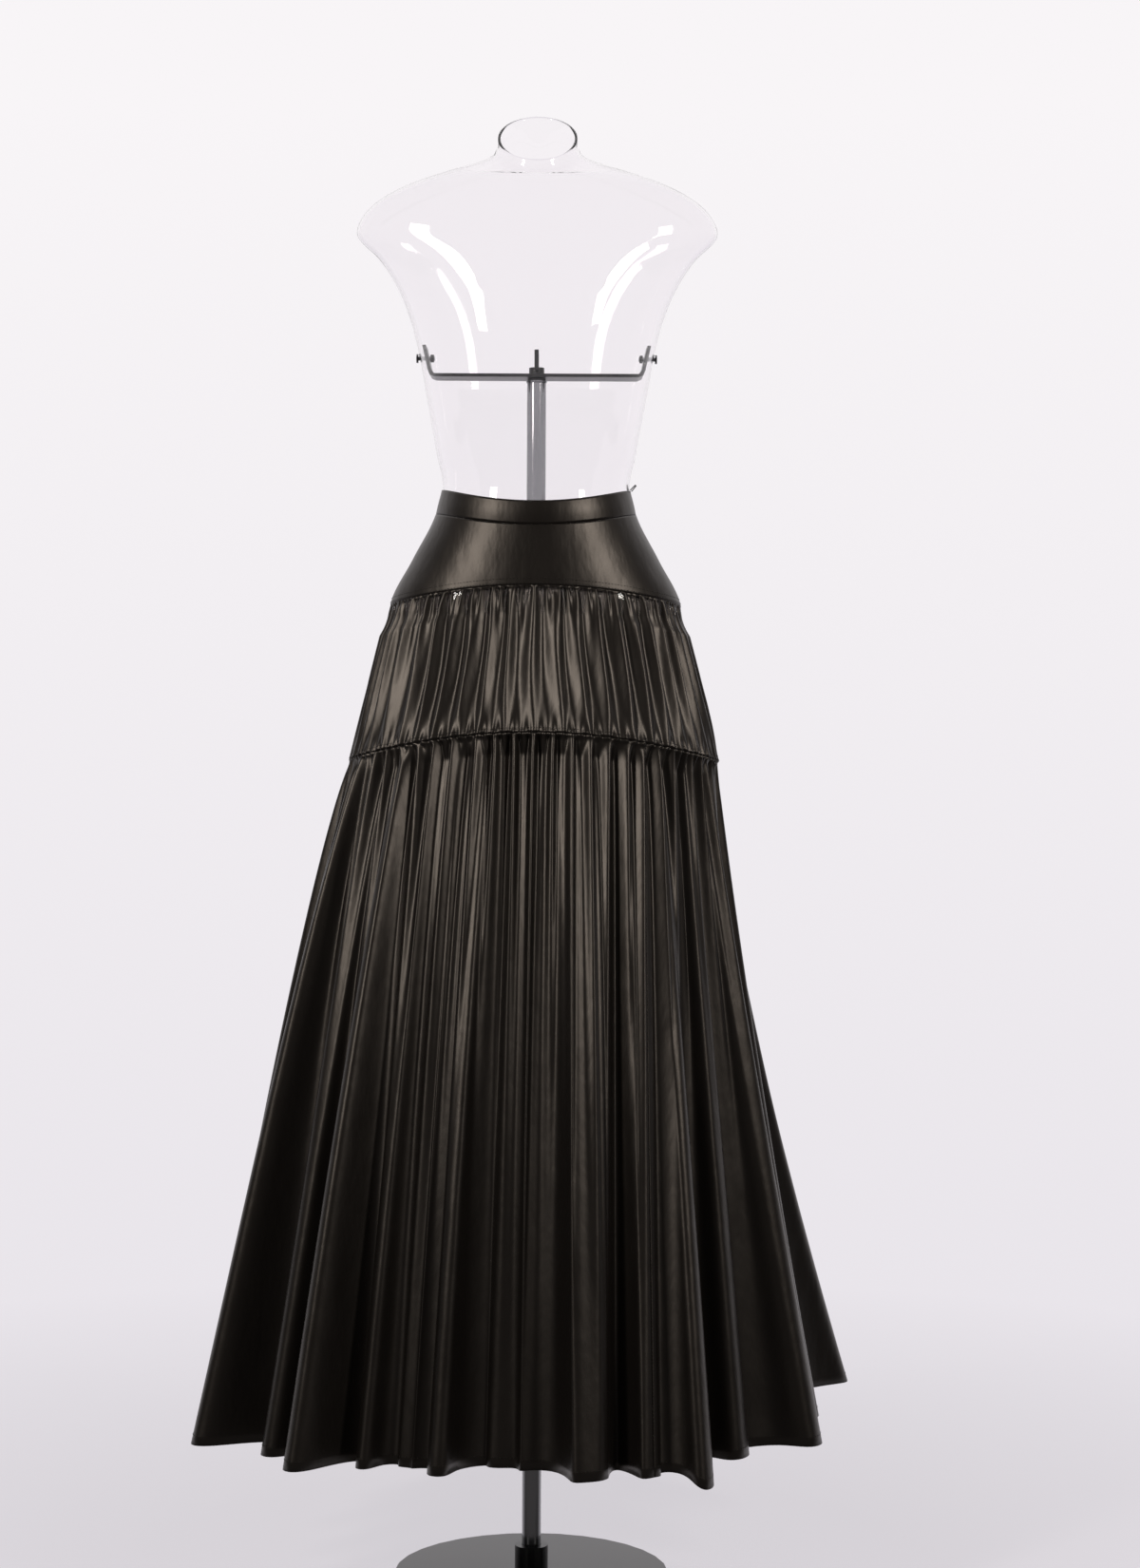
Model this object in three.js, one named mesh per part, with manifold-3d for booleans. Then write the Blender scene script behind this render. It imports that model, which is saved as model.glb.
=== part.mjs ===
// A maxi skirt on a clear, limbless dress form with its stand.
// Millimetres, +Z up, front towards -Y. The origin is the centre of the base's underside, on the floor.
import * as THREE from 'three';
import { mergeVertices } from 'three/addons/utils/BufferGeometryUtils.js';
import Module from 'manifold-3d';

// Cloth and gaps
const CLOTH = 1.3;
const SEAM_GAP = 0.3;
const BAND_EASE = 0.6;
const YOKE_EASE = 0.9;

// Heights at the side seams, and how much higher or lower each edge lies at the front and back centre
const EDGES = {
  bandTop: { side: 1314, front: -20, back: -12 },
  bandBottom: { side: 1285, front: -19, back: -11 },
  yokeSeam: { side: 1176, front: 18, back: 14 },
  tierSeam: { side: 989, front: 31, back: 16 },
};
const HEM_HEIGHT = 200;

// The form: half width, depth to the front and to the back of the pole, and the rise per mm towards the back
const TORSO = [
  { z: 1742, half: 48, front: 50, back: 50, lean: 0.75 },
  { z: 1726, half: 50, front: 50, back: 54, lean: 0.62 },
  { z: 1714, half: 62, front: 52, back: 60, lean: 0.45 },
  { z: 1703, half: 104, front: 55, back: 68, lean: 0.28 },
  { z: 1686, half: 153, front: 60, back: 76, lean: 0.15 },
  { z: 1666, half: 190, front: 66, back: 82, lean: 0.06 },
  { z: 1645, half: 211, front: 73, back: 88, lean: 0 },
  { z: 1620, half: 217, front: 81, back: 92, lean: 0 },
  { z: 1596, half: 193, front: 89, back: 95, lean: 0 },
  { z: 1561, half: 170, front: 101, back: 96, lean: 0 },
  { z: 1520, half: 153, front: 113, back: 94, lean: 0 },
  { z: 1480, half: 143, front: 115, back: 90, lean: 0 },
  { z: 1420, half: 132, front: 103, back: 85, lean: 0 },
  { z: 1360, half: 121, front: 92, back: 81, lean: 0 },
  { z: 1312, half: 113, front: 86, back: 80, lean: 0 },
  { z: 1284, half: 120, front: 88, back: 88, lean: 0 },
  { z: 1230, half: 147, front: 93, back: 103, lean: 0 },
  { z: 1176, half: 174, front: 98, back: 116, lean: 0 },
  { z: 1130, half: 172, front: 97, back: 118, lean: 0 },
  { z: 1080, half: 166, front: 94, back: 114, lean: 0 },
];
const TORSO_STATIONS = 48;
const SHELL_WALL = 3;

// Outline of the upper tier, on the crests of its gathers
const UPPER_OUTLINE = [
  { z: 1150, left: 186, right: 186, front: 106, back: 128 },
  { z: 1081, left: 203, right: 203, front: 124, back: 150 },
  { z: 1035, left: 214, right: 214, front: 137, back: 167 },
  { z: 989, left: 226, right: 224, front: 150, back: 186 },
];
const GATHER_COLUMNS = 4;
// Share of the way from the yoke seam down to the tier seam, and the gathers' depth there
const UPPER_ROWS = [
  { share: 0, depth: 0.1 },
  { share: 0.2, depth: 5 },
  { share: 0.6, depth: 8 },
  { share: 1, depth: 3 },
];

// The lower tier's folds, round from the front centre by way of +X. Each row is a crest: its angle at the tier
// seam and at the hem in degrees, its distance from the pole at the hem, the hollow that follows it, how
// its line swells on the way down (under 1 is full, over 1 is hollow), and how far its hem hangs low.
const FOLDS = [
  { top: -6, hem: -7, reach: 288, hollow: 24, swell: 0.9, drop: 0 },
  { top: 17, hem: 13, reach: 350, hollow: 42, swell: 0.95, drop: 0 },
  { top: 38, hem: 24, reach: 354, hollow: 32, swell: 1, drop: 0 },
  { top: 46, hem: 33, reach: 372, hollow: 56, swell: 1.05, drop: 14 },
  { top: 57, hem: 48, reach: 335, hollow: 38, swell: 1.1, drop: 0 },
  { top: 70, hem: 66, reach: 376, hollow: 64, swell: 1.15, drop: 0 },
  { top: 90, hem: 91, reach: 356, hollow: 56, swell: 1.2, drop: 0 },
  { top: 112, hem: 120, reach: 462, hollow: 92, swell: 1.2, drop: 0 },
  { top: 128, hem: 136, reach: 424, hollow: 66, swell: 1.1, drop: 4 },
  { top: 143, hem: 150, reach: 396, hollow: 58, swell: 1, drop: 0 },
  { top: 158, hem: 164, reach: 378, hollow: 62, swell: 1, drop: 2 },
  { top: 173, hem: 178, reach: 364, hollow: 54, swell: 0.95, drop: 0 },
  { top: 187, hem: 192, reach: 374, hollow: 60, swell: 0.95, drop: 3 },
  { top: 202, hem: 207, reach: 390, hollow: 66, swell: 0.95, drop: 0 },
  { top: 217, hem: 222, reach: 410, hollow: 58, swell: 0.9, drop: 4 },
  { top: 233, hem: 238, reach: 424, hollow: 68, swell: 0.9, drop: 0 },
  { top: 251, hem: 255, reach: 408, hollow: 60, swell: 0.85, drop: 0 },
  { top: 270, hem: 273, reach: 396, hollow: 56, swell: 0.85, drop: 0 },
  { top: 290, hem: 293, reach: 431, hollow: 72, swell: 0.85, drop: 0 },
  { top: 303, hem: 306, reach: 376, hollow: 40, swell: 0.9, drop: 0 },
  { top: 315, hem: 318, reach: 398, hollow: 52, swell: 0.9, drop: 0 },
  { top: 325, hem: 326, reach: 352, hollow: 34, swell: 0.9, drop: 0 },
  { top: 334, hem: 333, reach: 318, hollow: 22, swell: 0.9, drop: 0 },
  { top: 344, hem: 341, reach: 334, hollow: 34, swell: 0.9, drop: 0 },
];
const FOLD_COLUMNS = 8;
const COLUMNS = FOLDS.length * FOLD_COLUMNS;
const FOLD_ROUNDING = 0.05;
const LOWER_ROWS = [0, 0.08, 0.32, 0.66, 1];
// Joins by fold: the tiers' side seams lie under the yoke's, the three widths of the lower tier meet at these
const RIGHT_SIDE = 6 * FOLD_COLUMNS;
const LEFT_SIDE = 17 * FOLD_COLUMNS;
const FRONT_JOIN = 2 * FOLD_COLUMNS;
const BACK_JOIN = 9 * FOLD_COLUMNS;
const LEFT_JOIN = 16 * FOLD_COLUMNS;

// Hanger loop of folded tape at the right side seam
const LOOP = { thick: 1.8, width: 6, height: 9, lean: 40 };

// Bracket and stand
const BAR = { thick: 4, deep: 36, top: 1454, bend: 8, tip: 1488, foot: 130.5, lean: 0.19 };
const SCREW = { height: 1474, shank: 2.5, head: 5.5, headThick: 2.4, headSeat: 1.2, holeEase: 0.4 };
const NUT = { radius: 5, thick: 4, seat: 2 };
const STUD = { radius: 4, top: 1460, ease: 0.4 };
const POLE = { radius: 11.5, foot: 4.6, top: 1444.9 };
const WASHER = { radius: 12.5, bottom: 1445.2, top: 1446.7 };
const COLLAR = { radius: 11, bottom: 1447, top: 1449.7 };
const KNOB = { radius: 9.25, bottom: 1454.3, top: 1463, wingTop: 1483, wingWide: 34, wingThick: 5 };
const BASE = { radius: 165, thick: 8, hub: 20, hubTop: 40, socket: 11.9, socketFloor: 4.3 };
const ROUND = 32;

const wasm = await Module();
wasm.setup();

const radians = THREE.MathUtils.degToRad;
const mix = THREE.MathUtils.lerp;

const MATERIALS = {
  satin: { color: 0x1b1917, roughness: 0.38, metalness: 0 },
  tape: { color: 0x121110, roughness: 0.7, metalness: 0 },
  clear: { color: 0xf2f0f2, roughness: 0.05, metalness: 0, transparent: true, opacity: 0.25 },
  black: { color: 0x141414, roughness: 0.45, metalness: 0.2 },
  chrome: { color: 0xc8c8ca, roughness: 0.1, metalness: 1 },
};

const group = new THREE.Group();

function addPart(name, geometry, material) {
  const mesh = new THREE.Mesh(geometry, new THREE.MeshStandardMaterial(MATERIALS[material]));
  mesh.name = name;
  group.add(mesh);
  return mesh;
}

// The rows' values at height z, straight between rows that run from the top down
function rowAt(rows, z) {
  let below = rows.findIndex((row) => row.z <= z);
  below = below < 0 ? rows.length - 1 : Math.max(below, 1);
  const [upper, lower] = [rows[below - 1], rows[below]];
  const share = THREE.MathUtils.clamp((upper.z - z) / (upper.z - lower.z), 0, 1);
  const keys = Object.keys(upper);
  return Object.fromEntries(keys.map((key) => [key, mix(upper[key], lower[key], share)]));
}

// A point on an oval at an angle from the front centre towards +X
function ovalPoint(oval, angle, z) {
  const across = Math.sin(angle) * (Math.sin(angle) > 0 ? oval.right : oval.left);
  const depth = -Math.cos(angle) * (Math.cos(angle) > 0 ? oval.front : oval.back);
  return new THREE.Vector3(across, depth, z);
}

function torsoPoint(z, angle, ease) {
  const { half, front, back } = rowAt(TORSO, z);
  const oval = { left: half + ease, right: half + ease, front: front + ease, back: back + ease };
  return ovalPoint(oval, angle, z);
}

// Height of a seam or edge at an angle: it dips or rises towards the front and back centre
function edgeHeight(edge, angle) {
  const middle = Math.cos(angle) > 0 ? edge.front : edge.back;
  return edge.side + middle * Math.cos(angle) ** 2;
}

// A closed solid between an outer and an inner grid of points, rows from the top down, columns from the
// front towards +X. Round grids join their last column to their first; open ones are closed at both ends.
function solidBetween(outer, inner, round) {
  const rows = outer.length;
  const columns = outer[0].length;
  const positions = [...outer.flat(), ...inner.flat()].flatMap((p) => p.toArray());
  const out = (r, c) => r * columns + (c % columns);
  const back = (r, c) => rows * columns + out(r, c);
  const index = [];
  const quad = (a, b, c, d) => index.push(a, b, c, a, c, d);
  const last = round ? columns : columns - 1;
  for (let c = 0; c < last; c += 1) {
    for (let r = 0; r < rows - 1; r += 1) {
      quad(out(r, c), out(r + 1, c), out(r + 1, c + 1), out(r, c + 1));
      quad(back(r, c), back(r, c + 1), back(r + 1, c + 1), back(r + 1, c));
    }
    quad(out(0, c), out(0, c + 1), back(0, c + 1), back(0, c));
    quad(out(rows - 1, c), back(rows - 1, c), back(rows - 1, c + 1), out(rows - 1, c + 1));
  }
  for (let r = 0; r < rows - 1 && !round; r += 1) {
    quad(out(r + 1, 0), out(r, 0), back(r, 0), back(r + 1, 0));
    quad(out(r, last), out(r + 1, last), back(r + 1, last), back(r, last));
  }
  const geometry = new THREE.BufferGeometry();
  geometry.setAttribute('position', new THREE.Float32BufferAttribute(positions, 3));
  geometry.setIndex(index);
  return geometry;
}

// Level outward direction of a round grid at one point, so that the edges of a wall stay at their height
function levelNormal(row, column) {
  const next = row[(column + 1) % row.length];
  const previous = row[(column + row.length - 1) % row.length];
  return new THREE.Vector3(next.y - previous.y, previous.x - next.x, 0).normalize();
}

// A panel of cloth cut from a round grid between two columns, short of each by half the seam gap
function clothPanel(grid, from, to) {
  const columns = grid[0].length;
  const wrapped = (c) => (c + columns) % columns;
  const side = (row, offset) => {
    const moved = row.map((p, c) => p.clone().addScaledVector(levelNormal(row, c), offset));
    const strip = [];
    for (let c = from; c <= to; c += 1) {
      strip.push(moved[wrapped(c)].clone());
    }
    const trim = (end, inward) => {
      const share = SEAM_GAP / 2 / strip[end].distanceTo(strip[inward]);
      strip[end].lerp(strip[inward], share);
    };
    trim(0, 1);
    trim(strip.length - 1, strip.length - 2);
    return strip;
  };
  const outer = grid.map((row) => side(row, CLOTH / 2));
  const inner = grid.map((row) => side(row, -CLOTH / 2));
  return solidBetween(outer, inner, false);
}

// The fold that a column lies in, the next one, and the share of the way from crest to crest
function foldAt(column) {
  const k = Math.floor(column / FOLD_COLUMNS);
  const fold = FOLDS[k];
  const next = FOLDS[(k + 1) % FOLDS.length];
  const turn = k + 1 === FOLDS.length ? 360 : 0;
  return { fold, next, turn, share: (column % FOLD_COLUMNS) / FOLD_COLUMNS };
}

function seamAngle(column) {
  const { fold, next, turn, share } = foldAt(column);
  return radians(mix(fold.top, next.top + turn, share));
}

function hemPoint(column) {
  const { fold, next, turn, share } = foldAt(column);
  const rounded = share + FOLD_ROUNDING * Math.sin(4 * Math.PI * share);
  const angle = radians(mix(fold.hem, next.hem + turn, rounded));
  const hollow = (fold.hollow * (1 - Math.cos(2 * Math.PI * share))) / 2;
  const reach = mix(fold.reach, next.reach, share) - hollow;
  const crest = (1 + Math.cos(2 * Math.PI * share)) / 2;
  const drop = mix(fold.drop, next.drop, share) * crest;
  return new THREE.Vector3(reach * Math.sin(angle), -reach * Math.cos(angle), HEM_HEIGHT - drop);
}

// Depth of the gathers at a column, from 0 on a crest to 1 in a hollow
function gatherAt(column) {
  return (1 - Math.cos((2 * Math.PI * column) / GATHER_COLUMNS)) / 2;
}

function pulledIn(point, depth) {
  const level = new THREE.Vector3(point.x, point.y, 0).normalize();
  return point.clone().addScaledVector(level, -depth);
}

function upperPoint(column, { share, depth }) {
  const angle = seamAngle(column);
  const top = edgeHeight(EDGES.yokeSeam, angle) - SEAM_GAP / 2;
  const bottom = edgeHeight(EDGES.tierSeam, angle) + SEAM_GAP / 2;
  const z = mix(top, bottom, share);
  const onYoke = torsoPoint(z, angle, YOKE_EASE + CLOTH / 2);
  const point = share === 0 ? onYoke : ovalPoint(rowAt(UPPER_OUTLINE, z), angle, z);
  return pulledIn(point, depth * gatherAt(column));
}

function lowerPoint(column, share) {
  const { fold, next, share: along } = foldAt(column);
  const top = upperPoint(column, UPPER_ROWS[UPPER_ROWS.length - 1]);
  top.z -= SEAM_GAP;
  const hem = hemPoint(column);
  const swell = mix(fold.swell, next.swell, along);
  const spread = share ** swell;
  return new THREE.Vector3(mix(top.x, hem.x, spread), mix(top.y, hem.y, spread), mix(top.z, hem.z, share));
}

const columnList = Array.from({ length: COLUMNS }, (_, column) => column);
const stationList = Array.from({ length: TORSO_STATIONS }, (_, k) => (2 * Math.PI * k) / TORSO_STATIONS);
const quarter = TORSO_STATIONS / 4;

// Waistband and yoke: smooth pieces that follow the form, each cut in a front and a back
function fittedGrid(topEdge, bottomEdge, ease, rows) {
  return rows.map((share) => stationList.map((angle) => {
    const top = edgeHeight(topEdge, angle);
    const bottom = edgeHeight(bottomEdge, angle);
    const z = mix(top - SEAM_GAP / 2, bottom + SEAM_GAP / 2, share);
    return torsoPoint(z, angle, ease + CLOTH / 2);
  }));
}
const band = fittedGrid(EDGES.bandTop, EDGES.bandBottom, BAND_EASE, [0, 1]);
const yoke = fittedGrid(EDGES.bandBottom, EDGES.yokeSeam, YOKE_EASE, [0, 0.5, 1]);
addPart('waistband_front', clothPanel(band, -quarter, quarter), 'satin');
addPart('waistband_back', clothPanel(band, quarter, 3 * quarter), 'satin');
addPart('yoke_front', clothPanel(yoke, -quarter, quarter), 'satin');
addPart('yoke_back', clothPanel(yoke, quarter, 3 * quarter), 'satin');

// Upper tier: a gathered strip in two lengths, joined at the side seams
const upper = UPPER_ROWS.map((row) => columnList.map((column) => upperPoint(column, row)));
addPart('upper_tier_front', clothPanel(upper, LEFT_SIDE - COLUMNS, RIGHT_SIDE), 'satin');
addPart('upper_tier_back', clothPanel(upper, RIGHT_SIDE, LEFT_SIDE), 'satin');

// Lower tier: three widths of cloth, gathered at the tier seam and spread into deep folds at the hem
const lower = LOWER_ROWS.map((share) => columnList.map((column) => lowerPoint(column, share)));
addPart('lower_tier_front', clothPanel(lower, LEFT_JOIN - COLUMNS, FRONT_JOIN), 'satin');
addPart('lower_tier_right', clothPanel(lower, FRONT_JOIN, BACK_JOIN), 'satin');
addPart('lower_tier_back', clothPanel(lower, BACK_JOIN, LEFT_JOIN), 'satin');

// Hanger loop: standing on the band's top edge at the right side seam, leaning outwards
const loop = addPart('hanger_loop', new THREE.BoxGeometry(LOOP.thick, LOOP.width, LOOP.height), 'tape');
const loopFoot = torsoPoint(EDGES.bandTop.side, Math.PI / 2, BAND_EASE + CLOTH / 2);
const loopLean = radians(LOOP.lean);
const loopRise = (LOOP.height / 2) * Math.cos(loopLean) + (LOOP.thick / 2) * Math.sin(loopLean) + SEAM_GAP;
loop.rotation.y = loopLean;
loop.position.set(loopFoot.x + (LOOP.height / 2) * Math.sin(loopLean), 0, EDGES.bandTop.side + loopRise);

// manifold-3d solid of a closed geometry
function asSolid(geometry) {
  const bare = geometry.clone();
  bare.deleteAttribute('normal');
  bare.deleteAttribute('uv');
  const merged = mergeVertices(bare, 1e-4);
  const vertProperties = new Float32Array(merged.attributes.position.array);
  const triVerts = new Uint32Array(merged.index.array);
  return new wasm.Manifold(new wasm.Mesh({ numProp: 3, vertProperties, triVerts }));
}

function asGeometry(solid) {
  const mesh = solid.getMesh();
  const geometry = new THREE.BufferGeometry();
  geometry.setAttribute('position', new THREE.BufferAttribute(mesh.vertProperties, 3));
  geometry.setIndex(new THREE.BufferAttribute(mesh.triVerts, 1));
  return geometry;
}

// A cylinder along Z between two heights, or along X when laid over
function rod(radius, from, to, sides = ROUND) {
  const cylinder = new THREE.CylinderGeometry(radius, radius, to - from, sides);
  return cylinder.rotateX(Math.PI / 2).translate(0, 0, (from + to) / 2);
}

function crossRod(radius, from, to, height, sides = ROUND) {
  return rod(radius, from, to, sides).rotateY(Math.PI / 2).translate(0, 0, height);
}

// Torso shell: moulded clear plastic, open at the slanted neck and at the hips, drilled for the two screws
function torsoGrid() {
  return TORSO.map((row) => stationList.map((angle) => {
    const oval = { left: row.half, right: row.half, front: row.front, back: row.back };
    const point = ovalPoint(oval, angle, row.z);
    point.z += point.y * row.lean;
    return point;
  }));
}

function innerGrid(grid, wall) {
  return grid.map((row, r) => row.map((point, c) => {
    const across = row[(c + 1) % row.length].clone().sub(row[(c + row.length - 1) % row.length]);
    const lower = grid[Math.min(r + 1, grid.length - 1)][c];
    const upper = grid[Math.max(r - 1, 0)][c];
    const outward = lower.clone().sub(upper).cross(across).normalize();
    return point.clone().addScaledVector(outward, -wall);
  }));
}

const shellOuter = torsoGrid();
const screwHole = asSolid(crossRod(SCREW.shank + SCREW.holeEase, -200, 200, SCREW.height, 16));
const shellBlank = asSolid(solidBetween(shellOuter, innerGrid(shellOuter, SHELL_WALL), true));
addPart('torso_shell', asGeometry(shellBlank.subtract(screwHole)), 'clear');

// Bracket: one flat bar, bent up at both ends inside the shell, drilled for the stud and the screws
function barOutline() {
  const { thick, top, bend, tip, foot, lean } = BAR;
  const rise = tip - top;
  const right = [[foot - bend, top - thick], [foot - bend * 0.3, top - thick * 0.4], [foot, top + bend * 0.6]];
  const end = [[foot + rise * lean, tip], [foot + rise * lean - thick, tip]];
  const inside = [[foot - thick, top + bend * 0.6], [foot - bend * 0.95, top], [foot - bend * 1.4, top]];
  const half = [...right, ...end, ...inside];
  const mirrored = half.map(([x, z]) => [-x, z]).reverse();
  return new THREE.Shape([...half, ...mirrored].map(([x, z]) => new THREE.Vector2(x, z)));
}
const barBlank = new THREE.ExtrudeGeometry(barOutline(), { depth: BAR.deep, bevelEnabled: false });
barBlank.translate(0, 0, -BAR.deep / 2).rotateX(Math.PI / 2);
const studHole = asSolid(rod(STUD.radius + STUD.ease, BAR.top - 20, BAR.top + 5, 24));
addPart('bracket_bar', asGeometry(asSolid(barBlank).subtract(studHole).subtract(screwHole)), 'black');

// Screws through the shell and the bar's ends, with a nut inside
for (const [name, hand] of [['left', -1], ['right', 1]]) {
  const shellFace = torsoPoint(SCREW.height, Math.PI / 2, 0).x;
  const barFace = BAR.foot + (SCREW.height - BAR.top) * BAR.lean - BAR.thick;
  const headFace = shellFace + SCREW.headSeat;
  const nutFace = barFace - NUT.seat;
  const head = crossRod(SCREW.head, headFace, headFace + SCREW.headThick, SCREW.height, 16);
  const shank = crossRod(SCREW.shank, nutFace - NUT.thick - 1, headFace + 1, SCREW.height, 16);
  const screw = asSolid(head).add(asSolid(shank));
  const nutBlank = asSolid(crossRod(NUT.radius, nutFace - NUT.thick, nutFace, SCREW.height, 6));
  const bore = asSolid(crossRod(SCREW.shank + SEAM_GAP, barFace - 20, barFace + 20, SCREW.height, 16));
  const turned = (solid) => asGeometry(solid).rotateZ(hand > 0 ? 0 : Math.PI);
  addPart(`screw_${name}`, turned(screw), 'chrome');
  addPart(`nut_${name}`, turned(nutBlank.subtract(bore)), 'black');
}

// Stand: a pole with a threaded stud on top, a washer and a collar under the bar, and a wing knob on it
function turnedProfile(points) {
  return new THREE.LatheGeometry(points.map(([x, y]) => new THREE.Vector2(x, y)), ROUND).rotateX(Math.PI / 2);
}

addPart('pole', turnedProfile([
  [0, POLE.foot],
  [POLE.radius, POLE.foot],
  [POLE.radius, POLE.top],
  [STUD.radius, POLE.top],
  [STUD.radius, STUD.top],
  [0, STUD.top],
]), 'chrome');

function ringPart(name, { radius, bottom, top }, material) {
  const bore = STUD.radius + STUD.ease;
  const section = [[bore, bottom], [radius, bottom], [radius, top], [bore, top], [bore, bottom]];
  addPart(name, turnedProfile(section), material);
}
ringPart('washer', WASHER, 'chrome');
ringPart('collar', COLLAR, 'black');

const knobBody = asSolid(rod(KNOB.radius, KNOB.bottom, KNOB.top));
const wing = new THREE.BoxGeometry(KNOB.wingThick, KNOB.wingWide, KNOB.wingTop - KNOB.top + 4);
wing.translate(0, 0, (KNOB.wingTop + KNOB.top - 4) / 2);
const knobBore = asSolid(rod(STUD.radius + STUD.ease, KNOB.bottom - 1, STUD.top + SEAM_GAP));
addPart('wing_knob', asGeometry(knobBody.add(asSolid(wing)).subtract(knobBore)), 'black');

addPart('base_disc', turnedProfile([
  [0, 0],
  [BASE.radius, 0],
  [BASE.radius, BASE.thick],
  [BASE.hub, BASE.thick],
  [BASE.hub, BASE.hubTop],
  [BASE.socket, BASE.hubTop],
  [BASE.socket, BASE.socketFloor],
  [0, BASE.socketFloor],
]), 'black');

export default group;
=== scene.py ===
import math

import bpy
import numpy as np
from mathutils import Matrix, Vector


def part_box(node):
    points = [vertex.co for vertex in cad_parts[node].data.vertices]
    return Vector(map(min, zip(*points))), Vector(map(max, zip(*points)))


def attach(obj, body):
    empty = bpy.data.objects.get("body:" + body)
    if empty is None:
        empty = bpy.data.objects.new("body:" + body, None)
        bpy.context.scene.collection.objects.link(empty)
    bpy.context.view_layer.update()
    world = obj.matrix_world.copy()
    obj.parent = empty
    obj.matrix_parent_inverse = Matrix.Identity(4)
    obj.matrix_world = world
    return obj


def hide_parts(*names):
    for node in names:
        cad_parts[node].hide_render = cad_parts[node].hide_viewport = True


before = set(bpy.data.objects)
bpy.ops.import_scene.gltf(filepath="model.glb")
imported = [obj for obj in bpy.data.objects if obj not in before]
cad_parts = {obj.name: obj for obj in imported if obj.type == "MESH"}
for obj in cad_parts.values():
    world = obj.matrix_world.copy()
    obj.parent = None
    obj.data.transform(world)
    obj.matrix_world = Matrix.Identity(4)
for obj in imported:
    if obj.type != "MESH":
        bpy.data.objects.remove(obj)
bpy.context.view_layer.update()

# ---------------------------------------------------------------------------------------------------------
# Camera and studio: a long lens at waist height, two tall softboxes in front and high up, a pale room.
# The room's colour shows to the camera and in gloss and clear plastic, and adds little light of its own.
# ---------------------------------------------------------------------------------------------------------

# Metres, millimetres and degrees
CAMERA_AT = (0.0426, -3.3, 0.96)
CAMERA_LENS = 62.6
CAMERA_ROLL = 0.26
LIGHTS_AIM = (0, 0, 1.15)


def linear(code):
    """An sRGB hex colour as the linear colour that the shaders take."""
    parts = [int(code[i:i + 2], 16) / 255 for i in (1, 3, 5)]
    return tuple(p / 12.92 if p <= 0.04045 else ((p + 0.055) / 1.055) ** 2.4 for p in parts) + (1.0,)


def node(tree, kind, settings=None, links=None):
    """Adds a node: settings are its properties or socket values, links its inputs by socket name."""
    made = tree.nodes.new(kind)
    for key, value in (settings or {}).items():
        if isinstance(key, str) and hasattr(made, key):
            setattr(made, key, value)
        else:
            made.inputs[key].default_value = value
    for key, source in (links or {}).items():
        tree.links.new(source, made.inputs[key])
    return made


def fresh_material(name):
    material = bpy.data.materials.new(name)
    material.use_nodes = True
    material.node_tree.nodes.clear()
    return material, material.node_tree


camera = bpy.data.objects.new("camera", bpy.data.cameras.new("camera"))
camera.data.sensor_fit = "VERTICAL"
camera.data.sensor_height = 36
camera.data.lens = CAMERA_LENS
camera.location = CAMERA_AT
camera.rotation_euler = (math.pi / 2, -math.radians(CAMERA_ROLL), 0)
bpy.context.collection.objects.link(camera)
bpy.context.scene.camera = camera
bpy.context.scene.view_settings.view_transform = "Standard"

world = bpy.data.worlds.new("studio")
bpy.context.scene.world = world
world.use_nodes = True
room = world.node_tree
room.nodes.clear()
path = node(room, "ShaderNodeLightPath")
way = node(room, "ShaderNodeTexCoord")
axes = node(room, "ShaderNodeSeparateXYZ", links={0: way.outputs["Generated"]})
# The backdrop's colour is painted lighter towards the top and greyer towards the bottom: a painted falloff of
# the light down the backdrop.
height = node(room, "ShaderNodeMapRange", {"From Min": -0.26, "From Max": 0.24}, {"Value": axes.outputs["Z"]})
wall = node(room, "ShaderNodeMixRGB", {1: linear("#e6e2e8"), 2: linear("#f8f5f7")}, {0: height.outputs[0]})
seen = node(room, "ShaderNodeMath", {"operation": "MAXIMUM"},
            {0: path.outputs["Is Camera Ray"], 1: path.outputs["Is Transmission Ray"]})
behind = node(room, "ShaderNodeMapRange", {"From Min": -0.1, "From Max": 0.5}, {"Value": axes.outputs["Y"]})
gloss = node(room, "ShaderNodeMath", {"operation": "MULTIPLY"},
             {0: path.outputs["Is Glossy Ray"], 1: behind.outputs[0]})
shown = node(room, "ShaderNodeMath", {"operation": "MAXIMUM"}, {0: seen.outputs[0], 1: gloss.outputs[0]})
dim = node(room, "ShaderNodeBackground", {"Color": linear("#f3f0f4"), "Strength": 0.06})
pale = node(room, "ShaderNodeBackground", {"Strength": 1.0}, {"Color": wall.outputs[0]})
sky = node(room, "ShaderNodeMixShader", links={0: shown.outputs[0], 1: dim.outputs[0], 2: pale.outputs[0]})
node(room, "ShaderNodeOutputWorld", links={0: sky.outputs[0]})

# Softboxes: name, place, width, height, power
SOFTBOXES = [
    ("softbox_left", (-2.1, -2.3, 2.6), 0.45, 1.7, 60),
    ("softbox_right", (2.3, -2.2, 2.6), 0.4, 1.3, 48),
]
for name, place, wide, tall, power in SOFTBOXES:
    lamp = bpy.data.lights.new(name, "AREA")
    lamp.shape = "RECTANGLE"
    lamp.size, lamp.size_y, lamp.energy = wide, tall, power
    lamp.color = linear("#fffaf4")[:3]
    holder = bpy.data.objects.new(name, lamp)
    holder.location = place
    aim = np.array(LIGHTS_AIM) - place
    turn = math.atan2(aim[0], -aim[1])
    dip = math.atan2(math.hypot(aim[0], aim[1]), -aim[2])
    holder.rotation_euler = (dip, 0, turn + math.pi)
    bpy.context.collection.objects.link(holder)


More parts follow.
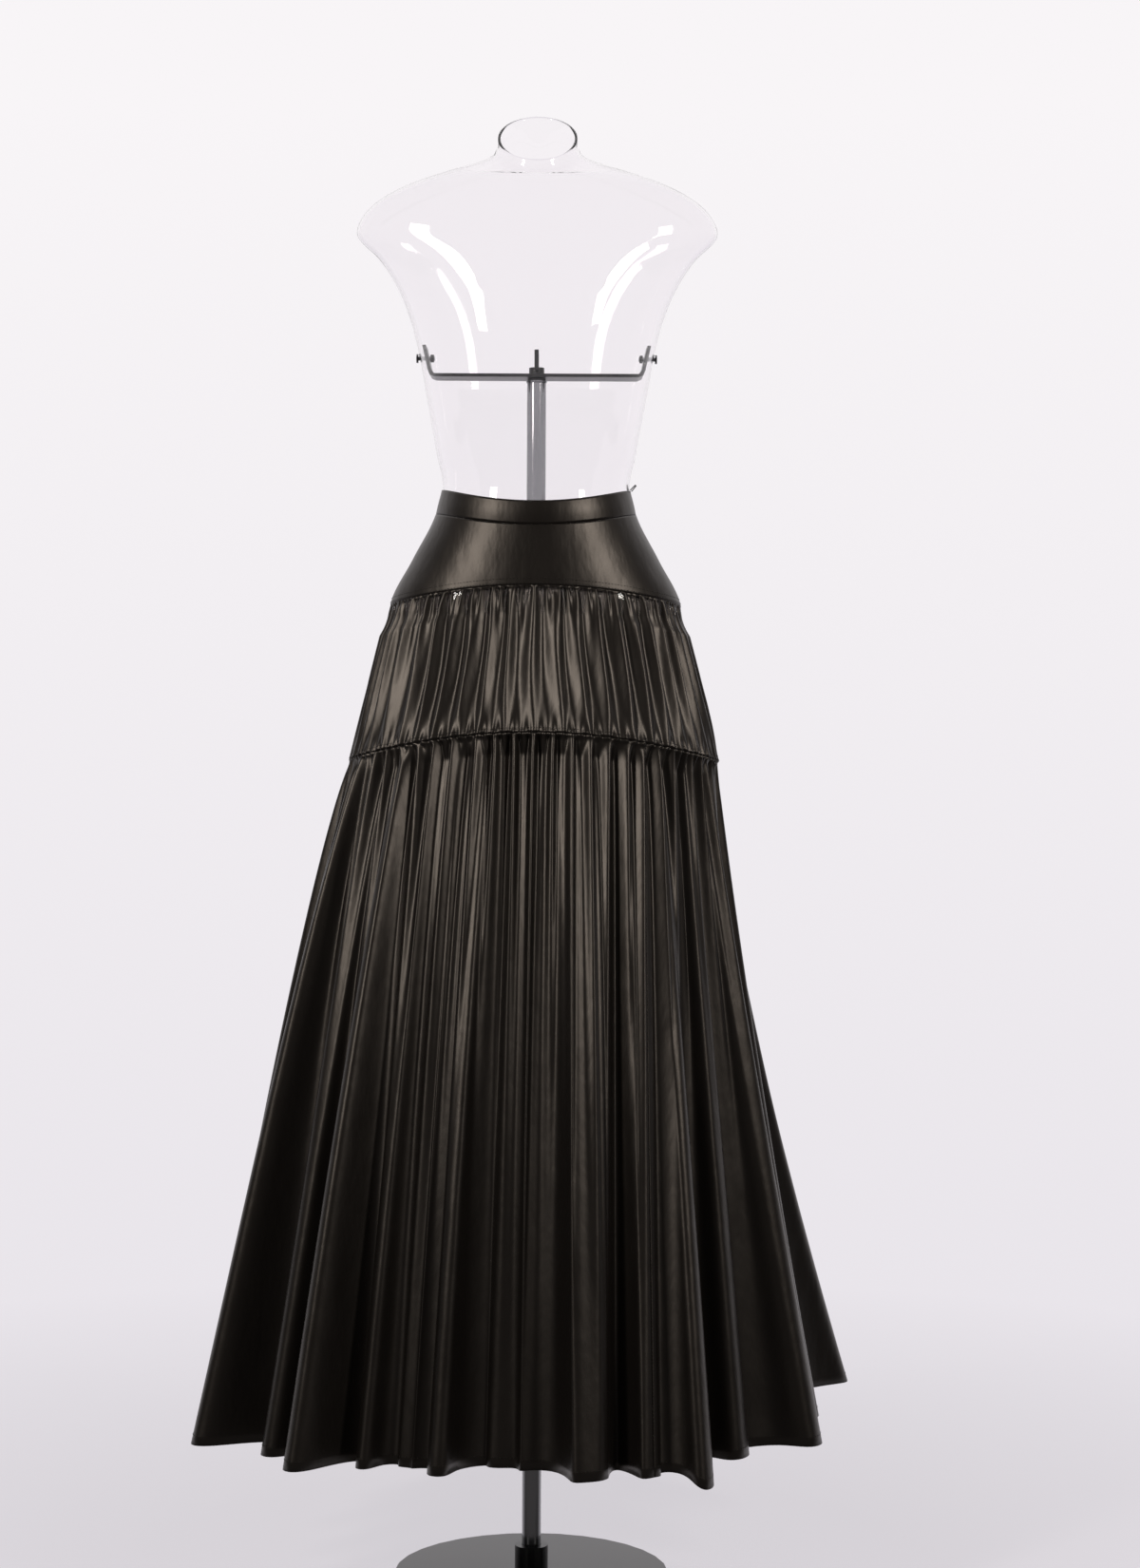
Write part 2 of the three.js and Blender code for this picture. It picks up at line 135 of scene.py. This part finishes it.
def mesh_object(name, points, faces):
    mesh = bpy.data.meshes.new(name)
    mesh.from_pydata([tuple(p) for p in points], [], faces)
    mesh.update()
    mesh.polygons.foreach_set("use_smooth", [True] * len(mesh.polygons))
    made = bpy.data.objects.new(name, mesh)
    bpy.context.collection.objects.link(made)
    return made


# The floor is a pale disc that fades out, so that only the stand's soft shadow shows on it
FLOOR_RADIUS = 3.0
rim = [(FLOOR_RADIUS * math.cos(a), FLOOR_RADIUS * math.sin(a), -0.0005)
       for a in np.linspace(0, 2 * math.pi, 96, endpoint=False)]
floor = mesh_object("floor", rim, [tuple(range(96))])
floor_paint, tree = fresh_material("matt white studio floor")
spot = node(tree, "ShaderNodeTexCoord")
away = node(tree, "ShaderNodeVectorMath", {"operation": "LENGTH"}, {0: spot.outputs["Object"]})
fade = node(tree, "ShaderNodeMapRange", {"From Min": 0.5, "From Max": 2.0, "To Min": 0.2, "To Max": 0.0},
            {"Value": away.outputs["Value"]})
paint = node(tree, "ShaderNodeBsdfDiffuse", {"Color": linear("#efecf0")})
clear = node(tree, "ShaderNodeBsdfTransparent")
mixed = node(tree, "ShaderNodeMixShader", links={0: fade.outputs[0], 1: clear.outputs[0], 2: paint.outputs[0]})
node(tree, "ShaderNodeOutputMaterial", links={0: mixed.outputs[0]})
floor.data.materials.append(floor_paint)

# ---------------------------------------------------------------------------------------------------------
# Clear torso shell: vacuum-moulded PETG about 3 mm thick, smooth and colourless, open at the slanted neck
# and at the hips. Sections run from the neck to the hip rim, as the solid's do.
# ---------------------------------------------------------------------------------------------------------

# Height, half width, depth to the front, depth to the back, rise towards the back (metres)
TORSO = np.array([
    (1.742, 0.048, 0.050, 0.050, 0.75),
    (1.726, 0.050, 0.050, 0.054, 0.62),
    (1.714, 0.062, 0.052, 0.060, 0.45),
    (1.703, 0.104, 0.055, 0.068, 0.28),
    (1.686, 0.153, 0.060, 0.076, 0.15),
    (1.666, 0.190, 0.066, 0.082, 0.06),
    (1.645, 0.211, 0.073, 0.088, 0),
    (1.620, 0.217, 0.081, 0.092, 0),
    (1.596, 0.193, 0.089, 0.095, 0),
    (1.561, 0.170, 0.101, 0.096, 0),
    (1.520, 0.153, 0.113, 0.094, 0),
    (1.480, 0.143, 0.115, 0.090, 0),
    (1.420, 0.132, 0.103, 0.085, 0),
    (1.360, 0.121, 0.092, 0.081, 0),
    (1.312, 0.113, 0.086, 0.080, 0),
    (1.284, 0.120, 0.088, 0.088, 0),
    (1.230, 0.147, 0.093, 0.103, 0),
    (1.176, 0.174, 0.098, 0.116, 0),
    (1.130, 0.172, 0.097, 0.118, 0),
    (1.080, 0.166, 0.094, 0.114, 0),
])
SHELL_WALL = 0.003
SHELL_ROWS, SHELL_COLUMNS = 150, 144


def smooth(rows, at):
    """Rows read smoothly at any place along their first column, with no overshoot at the ends."""
    x, y = rows[::-1, 0], rows[::-1, 1:]
    slope = np.gradient(y, x, axis=0)
    i = np.clip(np.searchsorted(x, at) - 1, 0, len(x) - 2)
    width = (x[i + 1] - x[i])[..., None]
    t = np.clip((at - x[i])[..., None] / width, 0, 1)
    a, b, da, db = y[i], y[i + 1], slope[i] * width, slope[i + 1] * width
    leaving, arriving = t**3 - 2 * t**2 + t, t**3 - t**2
    return (2 * t**3 - 3 * t**2 + 1) * a + leaving * da + (3 * t**2 - 2 * t**3) * b + arriving * db


def oval(left, right, front, back, angle, z):
    """Points on an oval, by the angle from the front centre towards +X."""
    x = np.sin(angle) * np.where(np.sin(angle) > 0, right, left)
    y = -np.cos(angle) * np.where(np.cos(angle) > 0, front, back)
    return np.stack([x, y, np.broadcast_to(z, x.shape)], axis=-1)


def grid_object(name, grid, closed):
    """A sheet from a grid of points, rows from the top down, facing outwards."""
    rows, columns = grid.shape[:2]
    across = columns if closed else columns - 1
    faces = []
    for r in range(rows - 1):
        for c in range(across):
            d = (c + 1) % columns
            faces.append((r * columns + c, (r + 1) * columns + c, (r + 1) * columns + d, r * columns + d))
    return mesh_object(name, grid.reshape(-1, 3), faces)


def thicken(piece, wall, offset):
    shell = piece.modifiers.new("wall", "SOLIDIFY")
    shell.thickness = wall
    shell.offset = offset
    shell.use_even_offset = True


angles = np.linspace(0, 2 * math.pi, SHELL_COLUMNS, endpoint=False)[None, :]
levels = np.interp(np.linspace(0, len(TORSO) - 1, SHELL_ROWS), np.arange(len(TORSO)), TORSO[:, 0])[:, None]
half, front, back, lean = np.moveaxis(smooth(TORSO, levels), -1, 0)
shell_grid = oval(half, half, front, back, np.broadcast_to(angles, (SHELL_ROWS, SHELL_COLUMNS)), levels)
shell_grid[..., 2] += shell_grid[..., 1] * lean
torso = grid_object("clear_torso", shell_grid, True)
thicken(torso, SHELL_WALL, -1)

petg, tree = fresh_material("clear moulded PETG")
haze = node(tree, "ShaderNodeTexNoise", {"Scale": 9.0, "Detail": 2.0})
flow = node(tree, "ShaderNodeBump", {"Strength": 0.04, "Distance": 0.002}, {"Height": haze.outputs["Fac"]})
body = node(tree, "ShaderNodeBsdfPrincipled",
            {"Base Color": linear("#fdfcfd"), "Roughness": 0.03, "IOR": 1.3, "Transmission Weight": 1.0},
            {"Normal": flow.outputs["Normal"]})
node(tree, "ShaderNodeOutputMaterial", links={0: body.outputs[0]})
torso.data.materials.append(petg)
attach(torso, "root")
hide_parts("torso_shell")

# ---------------------------------------------------------------------------------------------------------
# Black satin: a polyester satin with a tight warp face. It is near black where nothing lights it, with a
# broad warm grey shine along the folds. The warp threads, 0.5 mm apart as drawn, only just show.
# ---------------------------------------------------------------------------------------------------------


def satin_finish(name, shine):
    satin, tree = fresh_material(name)
    place = node(tree, "ShaderNodeTexCoord")
    long_way = node(tree, "ShaderNodeMapping", {"Scale": (2000, 2000, 60)}, {"Vector": place.outputs["Object"]})
    threads = node(tree, "ShaderNodeTexNoise", {"Scale": 1.0, "Detail": 2.0}, {"Vector": long_way.outputs[0]})
    limp = node(tree, "ShaderNodeMapping", {"Scale": (40, 40, 16)}, {"Vector": place.outputs["Object"]})
    puckers = node(tree, "ShaderNodeTexNoise", {"Scale": 1.0, "Detail": 3.0}, {"Vector": limp.outputs[0]})
    fine = node(tree, "ShaderNodeBump", {"Strength": 0.12, "Distance": 0.0003},
                {"Height": threads.outputs["Fac"]})
    soft = node(tree, "ShaderNodeBump", {"Strength": 0.25, "Distance": 0.004},
                {"Height": puckers.outputs["Fac"], "Normal": fine.outputs["Normal"]})
    tone = node(tree, "ShaderNodeMixRGB", {1: linear("#0c0a09"), 2: linear("#151210")},
                {0: threads.outputs["Fac"]})
    worn = node(tree, "ShaderNodeMapRange", {"To Min": shine - 0.04, "To Max": shine + 0.06},
                {"Value": puckers.outputs["Fac"]})
    body = node(tree, "ShaderNodeBsdfPrincipled",
                {"Specular IOR Level": 0.55, "Specular Tint": linear("#f3e6da"), "Sheen Weight": 0.02,
                 "Sheen Tint": linear("#b9a897"), "Sheen Roughness": 0.4},
                {"Base Color": tone.outputs[0], "Roughness": worn.outputs[0], "Normal": soft.outputs["Normal"]})
    node(tree, "ShaderNodeOutputMaterial", links={0: body.outputs[0]})
    return satin


SATIN = satin_finish("black polyester satin", 0.36)

# ---------------------------------------------------------------------------------------------------------
# Waistband: a shaped double strip 30 mm deep, pressed flat, in a front and a back that meet at the sides.
# ---------------------------------------------------------------------------------------------------------

CLOTH = 0.0006
SEAM_GAP = 0.0003
BAND_EASE, YOKE_EASE = 0.0012, 0.0015


def edge_height(side, front, back, angle):
    """A seam's height, from that at the side seams and its rise towards the front and back centre."""
    return side + np.where(np.cos(angle) > 0, front, back) * np.cos(angle) ** 2


def band_top(angle):
    return edge_height(1.314, -0.020, -0.012, angle)


def band_bottom(angle):
    return edge_height(1.285, -0.019, -0.011, angle)


def on_torso(z, angle, ease):
    """Points just off the form, by height and by the angle from the front centre."""
    half, front, back, _ = np.moveaxis(smooth(TORSO, z), -1, 0)
    return oval(half + ease, half + ease, front + ease, back + ease, angle, z)


def dress(piece, node_name):
    """What every piece of the skirt gets: its cloth, its body and its thickness, with its solid from the model
    hidden.
    """
    piece.data.materials.append(SATIN)
    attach(piece, "root")
    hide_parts(node_name)
    thicken(piece, CLOTH, 0)


FRONT_TO_SIDES = np.linspace(-math.pi / 2, math.pi / 2, 97)[None, :]
BACK_TO_SIDES = FRONT_TO_SIDES + math.pi


def fitted(angle, top, bottom, ease, rows, swell):
    """A fitted strip of cloth between two edges, a little fuller half way down."""
    share = np.linspace(0, 1, rows)[:, None]
    z = top(angle) + (bottom(angle) - top(angle)) * share
    return on_torso(z, np.broadcast_to(angle, z.shape), ease + swell * np.sin(math.pi * share))


band_front = grid_object("waistband_front_cloth", fitted(
    FRONT_TO_SIDES, band_top, band_bottom, BAND_EASE, 12, 0.0012), False)
band_back = grid_object("waistband_back_cloth", fitted(
    BACK_TO_SIDES, band_top, band_bottom, BAND_EASE, 12, 0.0012), False)
dress(band_front, "waistband_front")
dress(band_back, "waistband_back")

# ---------------------------------------------------------------------------------------------------------
# Yoke: a smooth fitted hip piece, cut on a curve in a front and a back, sewn under the band.
# ---------------------------------------------------------------------------------------------------------


def yoke_seam(angle):
    return edge_height(1.176, 0.018, 0.014, angle)


def below_band(angle):
    return band_bottom(angle) - SEAM_GAP


yoke_front = grid_object("yoke_front_cloth", fitted(
    FRONT_TO_SIDES, below_band, yoke_seam, YOKE_EASE, 40, 0.0005), False)
yoke_back = grid_object("yoke_back_cloth", fitted(
    BACK_TO_SIDES, below_band, yoke_seam, YOKE_EASE, 40, 0.0005), False)
dress(yoke_front, "yoke_front")
dress(yoke_back, "yoke_back")

# ---------------------------------------------------------------------------------------------------------
# Upper tier: a strip gathered on to the yoke and again at its lower edge. The gathers are uneven: small
# puckers at both seams run together into fewer, rounder ridges half way down.
# ---------------------------------------------------------------------------------------------------------

# Crest by crest from the front centre by way of +X: angle at the tier seam, angle at the hem, distance from
# the pole at the hem, the hollow that follows, how its line swells, how far its hem hangs low
FOLDS = np.array([
    (-6, -7, 0.288, 0.024, 0.90, 0),
    (17, 13, 0.350, 0.042, 0.95, 0),
    (38, 24, 0.354, 0.032, 1.00, 0),
    (46, 33, 0.372, 0.056, 1.05, 0.014),
    (57, 48, 0.335, 0.038, 1.10, 0),
    (70, 66, 0.376, 0.064, 1.15, 0),
    (90, 91, 0.356, 0.056, 1.20, 0),
    (112, 120, 0.462, 0.092, 1.20, 0),
    (128, 136, 0.424, 0.066, 1.10, 0.004),
    (143, 150, 0.396, 0.058, 1.00, 0),
    (158, 164, 0.378, 0.062, 1.00, 0.002),
    (173, 178, 0.364, 0.054, 0.95, 0),
    (187, 192, 0.374, 0.060, 0.95, 0.003),
    (202, 207, 0.390, 0.066, 0.95, 0),
    (217, 222, 0.410, 0.058, 0.90, 0.004),
    (233, 238, 0.424, 0.068, 0.90, 0),
    (251, 255, 0.408, 0.060, 0.85, 0),
    (270, 273, 0.396, 0.056, 0.85, 0),
    (290, 293, 0.431, 0.072, 0.85, 0),
    (303, 306, 0.376, 0.040, 0.90, 0),
    (315, 318, 0.398, 0.052, 0.90, 0),
    (325, 326, 0.352, 0.034, 0.90, 0),
    (334, 333, 0.318, 0.022, 0.90, 0),
    (344, 341, 0.334, 0.034, 0.90, 0),
])
PER_FOLD = 44
COLUMNS = len(FOLDS) * PER_FOLD
UPPER_OUTLINE = np.array([
    (1.160, 0.184, 0.184, 0.105, 0.126),
    (1.081, 0.203, 0.203, 0.124, 0.150),
    (1.035, 0.214, 0.214, 0.137, 0.167),
    (0.985, 0.226, 0.224, 0.150, 0.186),
])

column = np.arange(COLUMNS)
fold = column // PER_FOLD
along = (column % PER_FOLD) / PER_FOLD
closing = np.vstack([FOLDS, FOLDS[:1] + np.array((360, 360, 0, 0, 0, 0))])
eased = along * along * (3 - 2 * along)
top_angle = np.radians(closing[fold, 0] * (1 - along) + closing[fold + 1, 0] * along)


def tier_seam(angle):
    return edge_height(0.989, 0.031, 0.016, angle)


def uneven(turns, seed):
    """Phase of a run of gathers round the skirt, with spacings that wander but close up on themselves."""
    draw = np.random.default_rng(seed)
    phase = turns * top_angle
    for harmonic in range(2, 15):
        strength = draw.uniform(0.3, 1.1) / harmonic**0.4
        phase = phase + strength * np.sin(harmonic * top_angle + draw.uniform(0, 6.3))
    return phase


def ridged(phase, sharp):
    """A gather's section, 0 on its crest and 1 in its hollow, rounder or sharper on the crest."""
    return ((1 - np.cos(phase)) / 2) ** sharp


# Gathers of the upper tier: how many go round, how deep they are, and the share of the strip they reach over
BROAD_GATHERS, BROAD_DEPTH = 46, 0.0075
SPLIT_GATHERS, SPLIT_DEPTH, SPLIT_REACH = 83, 0.0035, 0.35
TOP_PUCKERS, TOP_DEPTH, TOP_REACH = 131, 0.0026, 0.10
LOW_PUCKERS, LOW_DEPTH, LOW_REACH = 118, 0.0034, 0.07


def gathered(share, seed_wide, seed_fine):
    """Depth of the upper tier's gathers, row by row down the strip."""
    share = share[:, None]
    full = np.sin(math.pi * np.clip(share, 0, 1)) ** 0.5
    wander = 0.8 * np.sin(5 * top_angle + 4 * share) * share
    wide = ridged(uneven(BROAD_GATHERS, seed_wide) + wander, 0.8) * BROAD_DEPTH * full
    split = ridged(uneven(SPLIT_GATHERS, seed_fine) - wander, 0.9) * SPLIT_DEPTH * np.exp(-share / SPLIT_REACH)
    top = ridged(uneven(TOP_PUCKERS, seed_fine + 1), 1) * TOP_DEPTH * np.exp(-share / TOP_REACH)
    low = ridged(uneven(LOW_PUCKERS, seed_fine + 2), 1) * LOW_DEPTH * np.exp(-(1 - share) / LOW_REACH)
    return wide + split * np.clip(share / 0.03, 0, 1) + top * np.clip(share / 0.02, 0, 1) + low


def pulled_in(grid, depth):
    """A round grid with each point drawn level towards the pole by a depth."""
    level = grid[..., :2] / np.linalg.norm(grid[..., :2], axis=-1, keepdims=True)
    moved = grid.copy()
    moved[..., :2] -= level * depth[..., None]
    return moved


upper_share = np.linspace(0, 1, 70)
seam_top, seam_low = yoke_seam(top_angle) - SEAM_GAP, tier_seam(top_angle) + SEAM_GAP
upper_z = seam_top + (seam_low - seam_top) * upper_share[:, None]
left, right, front, back = np.moveaxis(smooth(UPPER_OUTLINE, upper_z), -1, 0)
loose = oval(left, right, front, back, np.broadcast_to(top_angle, upper_z.shape), upper_z)
held_tight = on_torso(upper_z, np.broadcast_to(top_angle, upper_z.shape), YOKE_EASE)
let_go = np.clip(upper_share / 0.2, 0, 1)[:, None, None]
upper_grid = pulled_in(held_tight * (1 - let_go) + loose * let_go, gathered(upper_share, 3, 11))


def panel(grid, start, stop):
    """The columns of a round grid from one join to the next."""
    picked = np.arange(start, stop + 1) % COLUMNS
    return grid[:, picked]


RIGHT_SIDE, LEFT_SIDE = 6 * PER_FOLD, 17 * PER_FOLD
upper_front = grid_object("upper_tier_front_cloth", panel(upper_grid, LEFT_SIDE - COLUMNS, RIGHT_SIDE), False)
upper_back = grid_object("upper_tier_back_cloth", panel(upper_grid, RIGHT_SIDE, LEFT_SIDE), False)
dress(upper_front, "upper_tier_front")
dress(upper_back, "upper_tier_back")

# ---------------------------------------------------------------------------------------------------------
# Lower tier: three widths of cloth gathered at the tier seam. The puckers soften in the first hand's
# breadth, and the cloth falls from them in long folds that stand out more and more towards the hem.
# ---------------------------------------------------------------------------------------------------------

HEM_HEIGHT = 0.200
# How many go round, how deep they are, and the share of the drop in which they die out
SEAM_PUCKERS, PUCKER_DEPTH, PUCKER_REACH = 112, 0.005, 0.045
SMALL_FOLDS, SMALL_DEPTH, SMALL_REACH = 57, 0.011, 0.5
LONG_FOLDS, LONG_DEPTH = 33, 0.014

hem_angle = np.radians(closing[fold, 1] + (closing[fold + 1, 1] - closing[fold, 1])
                       * (along + 0.06 * np.sin(4 * math.pi * along)))


def eased_column(k):
    """A column of the fold table, running smoothly from crest to crest."""
    return closing[fold, k] * (1 - eased) + closing[fold + 1, k] * eased


hollow = closing[fold, 3] * (1 - np.cos(2 * math.pi * along)) / 2
hem_reach = eased_column(2) - hollow
swell = eased_column(4)
hem_z = HEM_HEIGHT - eased_column(5) * (1 + np.cos(2 * math.pi * along)) / 2
hem_line = np.stack([hem_reach * np.sin(hem_angle), -hem_reach * np.cos(hem_angle), hem_z], axis=-1)

lower_share = np.concatenate([np.linspace(0, 0.12, 36)[:-1], np.linspace(0.12, 1, 66)])
start_line = upper_grid[-1].copy()
start_line[:, 2] -= 2 * SEAM_GAP
spread = lower_share[:, None] ** swell
lower_grid = np.empty((len(lower_share), COLUMNS, 3))
for k in (0, 1):
    lower_grid[..., k] = start_line[:, k] + (hem_line[:, k] - start_line[:, k]) * spread
lower_grid[..., 2] = start_line[:, 2] + (hem_line[:, 2] - start_line[:, 2]) * lower_share[:, None]
fall = lower_share[:, None]
puckers = ridged(uneven(SEAM_PUCKERS, 21), 1) * PUCKER_DEPTH * np.exp(-fall / PUCKER_REACH)
puckers = puckers * np.clip(fall / 0.006, 0, 1)
small_folds = ridged(uneven(SMALL_FOLDS, 22), 0.8) * SMALL_DEPTH * np.exp(-fall / SMALL_REACH)
small_folds = small_folds * np.clip(fall / 0.03, 0, 1)
sway = 0.5 * np.sin(3 * top_angle + 3 * fall)
long_folds = ridged(uneven(LONG_FOLDS, 23) + sway, 1) * LONG_DEPTH * fall**0.7
lower_grid = pulled_in(lower_grid, puckers + small_folds + long_folds)

FRONT_JOIN, BACK_JOIN, LEFT_JOIN = 2 * PER_FOLD, 9 * PER_FOLD, 16 * PER_FOLD
lower_front = grid_object("lower_tier_front_cloth", panel(lower_grid, LEFT_JOIN - COLUMNS, FRONT_JOIN), False)
lower_right = grid_object("lower_tier_right_cloth", panel(lower_grid, FRONT_JOIN, BACK_JOIN), False)
lower_back = grid_object("lower_tier_back_cloth", panel(lower_grid, BACK_JOIN, LEFT_JOIN), False)
dress(lower_front, "lower_tier_front")
dress(lower_right, "lower_tier_right")
dress(lower_back, "lower_tier_back")

# ---------------------------------------------------------------------------------------------------------
# Stitching: black thread, 3 mm stitches. Two rows hold the gathers to the yoke, one row runs over the tier
# seam, one beside the join of the front widths, and one runs along the narrow hem.
# ---------------------------------------------------------------------------------------------------------

STITCH, STITCH_GAP, THREAD = 0.0028, 0.0012, 0.00035


def stitch_row(line, closed=False):
    """Stitches along a line of points: short raised bars with pointed ends, standing on the cloth."""
    line = np.vstack([line, line[:1]]) if closed else line
    lengths = np.concatenate([[0], np.cumsum(np.linalg.norm(np.diff(line, axis=0), axis=1))])
    starts = np.arange(0, lengths[-1] - STITCH, STITCH + STITCH_GAP)
    place = np.stack([np.interp(starts, lengths, line[:, k]) for k in range(3)], axis=1)
    end = np.stack([np.interp(starts + STITCH, lengths, line[:, k]) for k in range(3)], axis=1)
    return place, end


def thread_piece(name, rows):
    points, faces = [], []
    for begin, end in rows:
        for a, b in zip(begin, end):
            out = np.array((a[0], a[1], 0))
            out = out / np.linalg.norm(out)
            run = (b - a) / np.linalg.norm(b - a)
            side = np.cross(run, out)
            first = len(points)
            middle = [a + (b - a) * s for s in (0.2, 0.8)]
            points += [a, b]
            for m in middle:
                points += [m + out * THREAD, m + side * THREAD, m - out * THREAD * 0.5, m - side * THREAD]
            for k in range(4):
                n = (k + 1) % 4
                faces.append((first, first + 2 + n, first + 2 + k))
                faces.append((first + 2 + k, first + 2 + n, first + 6 + n, first + 6 + k))
                faces.append((first + 1, first + 6 + k, first + 6 + n))
    piece = mesh_object(name, points, faces)
    piece.data.materials.append(THREAD_FINISH)
    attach(piece, "root")
    return piece


THREAD_FINISH = satin_finish("black polyester thread", 0.45)


def raised(line, lift):
    out = line * np.array((1, 1, 0))
    return line + out / np.linalg.norm(out, axis=-1, keepdims=True) * lift


all_round = np.linspace(0, 2 * math.pi, 720, endpoint=False)
yoke_rows = [stitch_row(raised(on_torso(yoke_seam(all_round) + up, all_round, YOKE_EASE), CLOTH), True)
             for up in (0.0025, 0.0075)]
thread_piece("yoke_topstitch", yoke_rows)
thread_piece("tier_topstitch", [stitch_row(raised(upper_grid[-3], CLOTH * 1.2), True)])
join = lower_grid[4:-2, FRONT_JOIN]
thread_piece("front_join_stitch", [stitch_row(raised(join, CLOTH * 1.2))])
thread_piece("hem_stitch", [stitch_row(raised(lower_grid[-2], CLOTH * 1.2), True)])

# ---------------------------------------------------------------------------------------------------------
# Hanger loop: a tab of folded black tape that stands up at the side seam.
# ---------------------------------------------------------------------------------------------------------

loop_low, loop_high = (np.array(corner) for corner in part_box("hanger_loop"))
LOOP_WIDE, LOOP_THICK = 0.006, 0.0009
fold_path = np.array([
    (loop_low[0], loop_low[2] + 0.0015),
    (loop_high[0] - 0.0012, loop_high[2] - 0.0005),
    (loop_high[0] - 0.0002, loop_high[2] - 0.0014),
    (loop_low[0] + 0.0016, loop_low[2]),
])
strip = np.array([[(x, y, z) for x, z in fold_path] for y in np.linspace(-LOOP_WIDE / 2, LOOP_WIDE / 2, 7)])
hanger = grid_object("hanger_tape", strip, False)
thicken(hanger, LOOP_THICK, 0)
tape, tree = fresh_material("woven black tape")
ribs = node(tree, "ShaderNodeTexWave", {"Scale": 900.0, "Distortion": 0.4})
rib_bump = node(tree, "ShaderNodeBump", {"Strength": 0.3, "Distance": 0.0002}, {"Height": ribs.outputs["Fac"]})
tape_tone = node(tree, "ShaderNodeMixRGB", {1: linear("#0c0b0b"), 2: linear("#191817")},
                 {0: ribs.outputs["Fac"]})
body = node(tree, "ShaderNodeBsdfPrincipled", {"Roughness": 0.6},
            {"Base Color": tape_tone.outputs[0], "Normal": rib_bump.outputs["Normal"]})
node(tree, "ShaderNodeOutputMaterial", links={0: body.outputs[0]})
hanger.data.materials.append(tape)
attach(hanger, "root")
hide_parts("hanger_loop")

# ---------------------------------------------------------------------------------------------------------
# Stand: a chromed steel pole on a black enamelled disc, a black enamelled flat bar, and moulded knob and
# collar. The bar, screws, nuts and base keep their solids; the pole is turned smoother here.
# ---------------------------------------------------------------------------------------------------------


def turned(name, profile, sides=96):
    """A solid turned round the pole's axis from pairs of radius and height, starting and ending on it."""
    ring = np.linspace(0, 2 * math.pi, sides, endpoint=False)
    points = [(0, 0, profile[0][1]), (0, 0, profile[-1][1])]
    for radius, z in profile[1:-1]:
        points += [(radius * math.cos(a), radius * math.sin(a), z) for a in ring]
    faces = []
    rings = len(profile) - 2
    for k in range(sides):
        n = (k + 1) % sides
        faces.append((0, 2 + n, 2 + k))
        for r in range(rings - 1):
            a, b = 2 + r * sides, 2 + (r + 1) * sides
            faces.append((a + k, a + n, b + n, b + k))
        last = 2 + (rings - 1) * sides
        faces.append((1, last + k, last + n))
    return mesh_object(name, points, faces)


def sharp_edges(piece):
    piece.data.set_sharp_from_angle(angle=math.radians(35))


chrome, tree = fresh_material("polished chrome plate")
streaks = node(tree, "ShaderNodeTexNoise", {"Scale": 60.0, "Detail": 3.0})
dulled = node(tree, "ShaderNodeMapRange", {"To Min": 0.06, "To Max": 0.13}, {"Value": streaks.outputs["Fac"]})
body = node(tree, "ShaderNodeBsdfPrincipled", {"Base Color": linear("#8e8e90"), "Metallic": 1.0},
            {"Roughness": dulled.outputs[0]})
node(tree, "ShaderNodeOutputMaterial", links={0: body.outputs[0]})

enamel, tree = fresh_material("black stove enamel on steel")
peel = node(tree, "ShaderNodeTexNoise", {"Scale": 700.0, "Detail": 2.0})
orange_peel = node(tree, "ShaderNodeBump", {"Strength": 0.08, "Distance": 0.0003},
                   {"Height": peel.outputs["Fac"]})
coat = node(tree, "ShaderNodeMixRGB", {1: linear("#0d0d0d"), 2: linear("#171717")}, {0: peel.outputs["Fac"]})
body = node(tree, "ShaderNodeBsdfPrincipled", {"Roughness": 0.3},
            {"Base Color": coat.outputs[0], "Normal": orange_peel.outputs["Normal"]})
node(tree, "ShaderNodeOutputMaterial", links={0: body.outputs[0]})

POLE_RADIUS = (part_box("pole")[1][0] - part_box("pole")[0][0]) / 2
pole_foot, pole_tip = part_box("pole")[0][2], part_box("pole")[1][2]
pole_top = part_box("washer")[0][2] - SEAM_GAP
STUD_RADIUS = 0.004
EDGE = 0.0006
pole = turned("chrome_pole", [
    (0, pole_foot), (POLE_RADIUS, pole_foot), (POLE_RADIUS, pole_top - EDGE), (POLE_RADIUS - EDGE, pole_top),
    (STUD_RADIUS, pole_top), (STUD_RADIUS, pole_tip), (0, pole_tip)])
sharp_edges(pole)
pole.data.materials.append(chrome)
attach(pole, "root")
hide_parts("pole")

FINISHES = {
    "bracket_bar": enamel, "nut_left": enamel, "nut_right": enamel, "base_disc": enamel,
    "wing_knob": enamel, "collar": enamel, "washer": chrome, "screw_left": chrome, "screw_right": chrome,
}
for name, finish in FINISHES.items():
    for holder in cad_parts[name].material_slots:
        holder.material = finish
